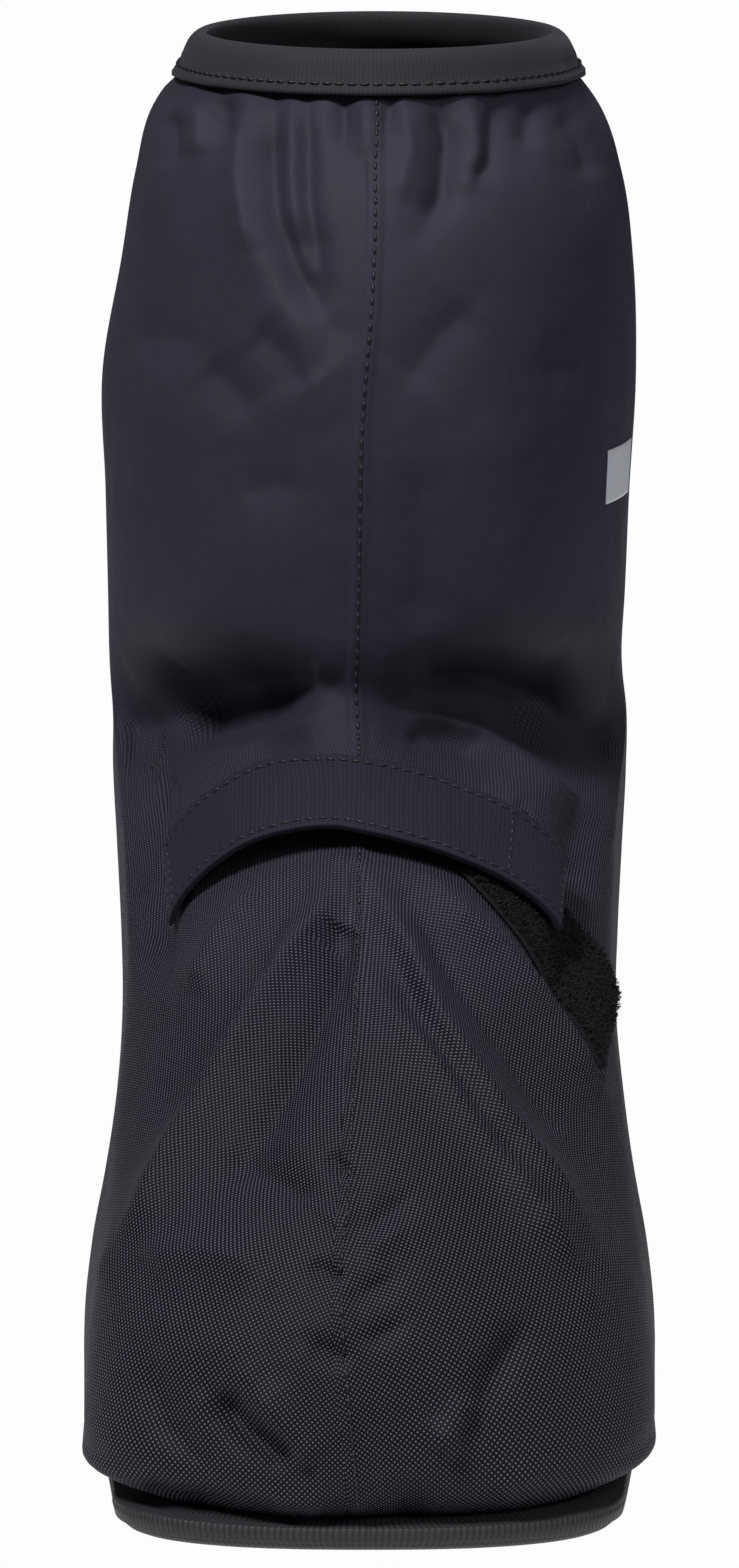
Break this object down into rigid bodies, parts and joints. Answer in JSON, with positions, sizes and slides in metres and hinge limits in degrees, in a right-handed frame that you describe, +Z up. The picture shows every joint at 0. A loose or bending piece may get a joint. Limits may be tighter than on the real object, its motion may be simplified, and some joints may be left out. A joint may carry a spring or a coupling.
{
  "type": "cycling rain gaiter",
  "caption": "Left cycling rain overshoe: a soft fabric shell from toe to mid calf with an elastic collar, an instep strap on hook and loop, and a thin rubberised sole.",
  "frame": {"origin": "on the floor, under the middle of the gaiter's box", "axes": "+X to the outer side of the foot, +Y to the heel, so the toe points to -Y, +Z up"},
  "size_m": [0.1172, 0.2941, 0.2837],
  "materials": {
    "shell_fabric": "coated plain weave, dull",
    "collar_elastic": "elastic binding, matte",
    "strap_webbing": "folded fabric strap, matte",
    "hook_and_loop": "fuzzy, matte",
    "sole_rubberised_fabric": "matte, finely ribbed"
  },
  "bodies": {
    "root": {"sole": "sole_rubberised_fabric", "upper": "shell_fabric", "collar_band": "collar_elastic", "instep_strap": "strap_webbing", "hook_patch": "hook_and_loop", "loop_patch": "hook_and_loop"}
  },
  "joints": []
}
